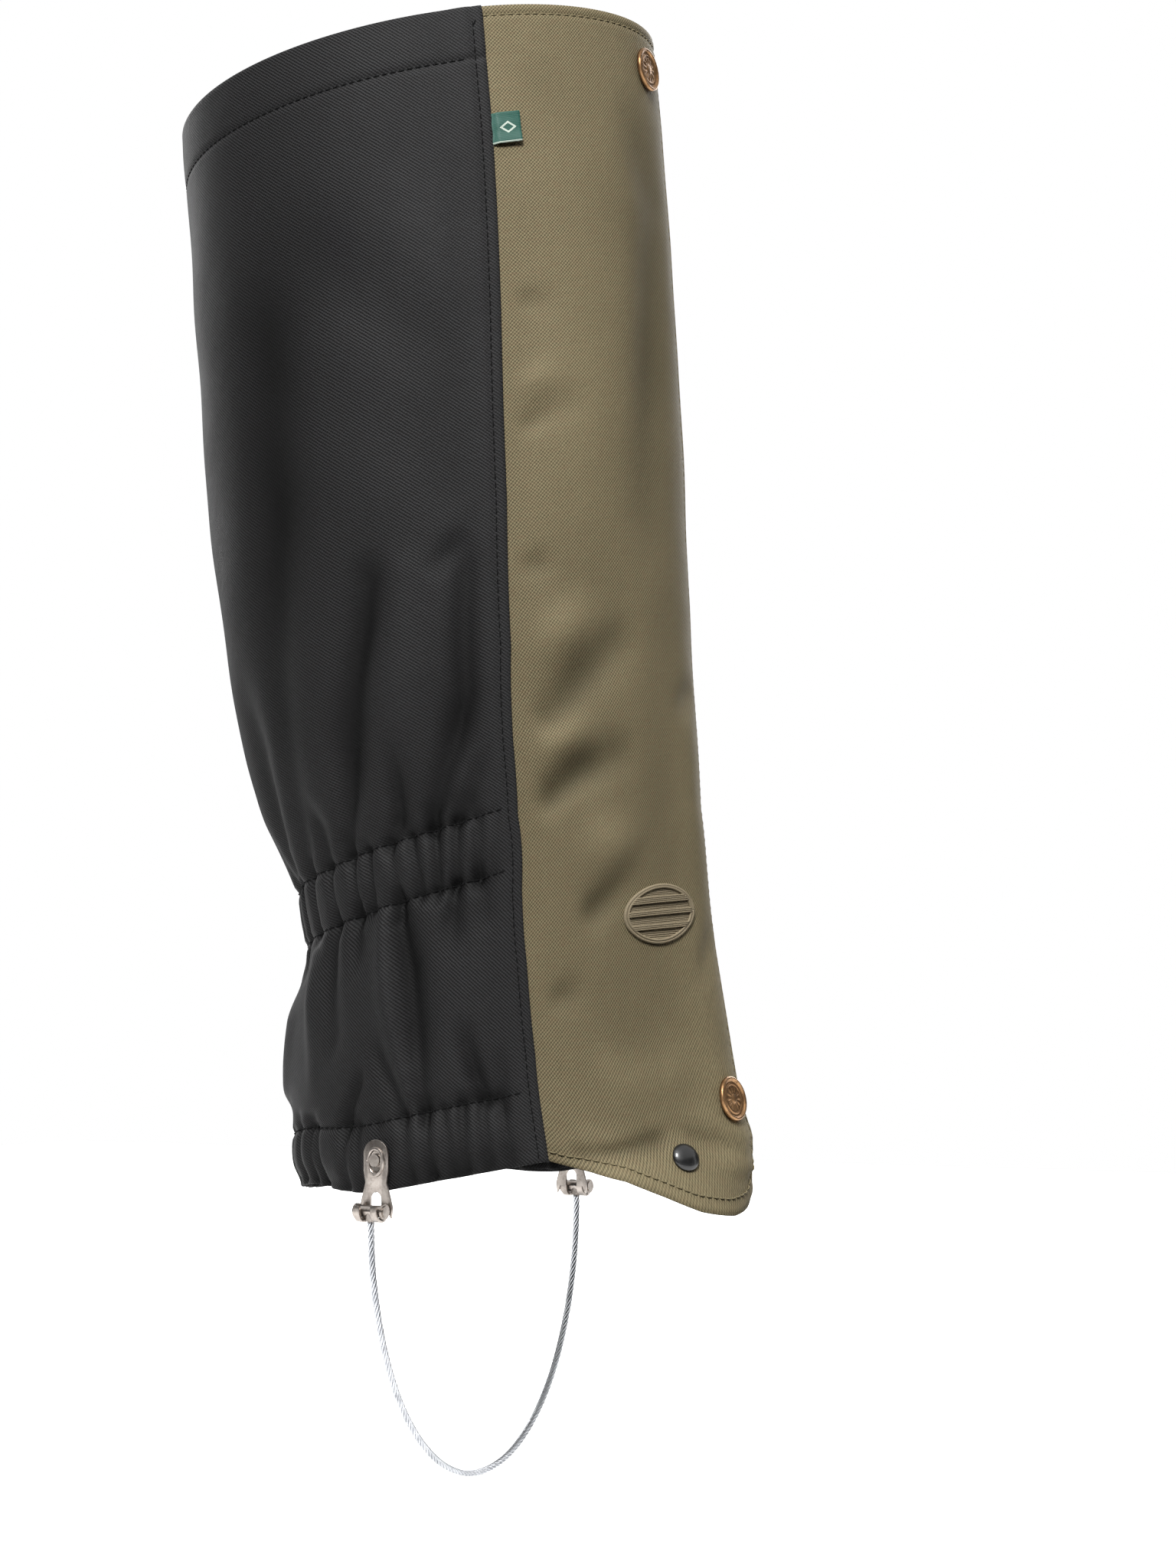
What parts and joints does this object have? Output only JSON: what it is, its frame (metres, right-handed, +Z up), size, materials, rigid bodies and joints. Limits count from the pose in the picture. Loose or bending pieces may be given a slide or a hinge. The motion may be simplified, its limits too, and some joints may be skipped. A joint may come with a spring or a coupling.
{
  "type": "hiking gaiter",
  "caption": "Knee-high two-tone hiking gaiter with a front flap closed by tape and snaps, elastic ankle and hem, a lace hook and a wire stirrup.",
  "frame": {"origin": "centre of the ankle elastic, where the gaiter grips the boot shaft", "axes": "+Z up the leg, -Y towards the shin and toe, -X towards the outer side of the right leg"},
  "size_m": [0.1574, 0.218, 0.5181],
  "materials": {
    "black_cloth": "matte coated nylon",
    "olive_cloth": "matte textured nylon",
    "elastic": "ribbed elastic",
    "binding": "matte tape",
    "hook_tape": "fine hooks",
    "loop_tape": "soft loops",
    "brass": "antique copper",
    "steel": "nickel plated",
    "wire": "bright wire rope",
    "black_metal": "gloss black",
    "label": "woven satin",
    "badge": "raised print"
  },
  "bodies": {
    "sleeve": {"rear_panel": "black_cloth", "ankle_elastic": "elastic", "ankle_elastic_casing": "black_cloth", "hem_elastic": "elastic", "hem_facing": "black_cloth", "rim_facing": "black_cloth", "inner_seam_binding": "binding", "outer_seam_binding": "binding", "underlap_panel": "olive_cloth", "loop_tape": "loop_tape", "upper_snap_stud": "brass", "lower_snap_stud": "brass", "upper_snap_post": "brass", "lower_snap_post": "brass", "outer_hook_rivet": "steel", "inner_hook_rivet": "steel", "outer_rivet_washer": "steel", "inner_rivet_washer": "steel"},
    "flap": {"front_flap": "olive_cloth", "flap_facing": "binding", "hook_tape": "hook_tape", "upper_snap_cap": "brass", "lower_snap_cap": "brass", "upper_snap_socket": "brass", "lower_snap_socket": "brass", "lace_hook": "steel", "lace_hook_cap": "black_metal", "side_label": "label", "flap_badge": "badge"},
    "stirrup": {"outer_hook_plate": "steel", "inner_hook_plate": "steel", "outer_cable_bar": "steel", "inner_cable_bar": "steel", "stirrup_cable": "wire"}
  },
  "joints": [
    {"name": "flap_opening", "type": "hinge", "parent": "sleeve", "child": "flap", "pos_m": [-0.0471, -0.0467, -0.101], "axis": [0.0113, -0.0362, -0.9993], "range_deg": [0, 120]},
    {"name": "stirrup_swing", "type": "hinge", "parent": "sleeve", "child": "stirrup", "pos_m": [0, 0.009, -0.1015], "axis": [1, 0, 0], "range_deg": [-25, 25]}
  ]
}
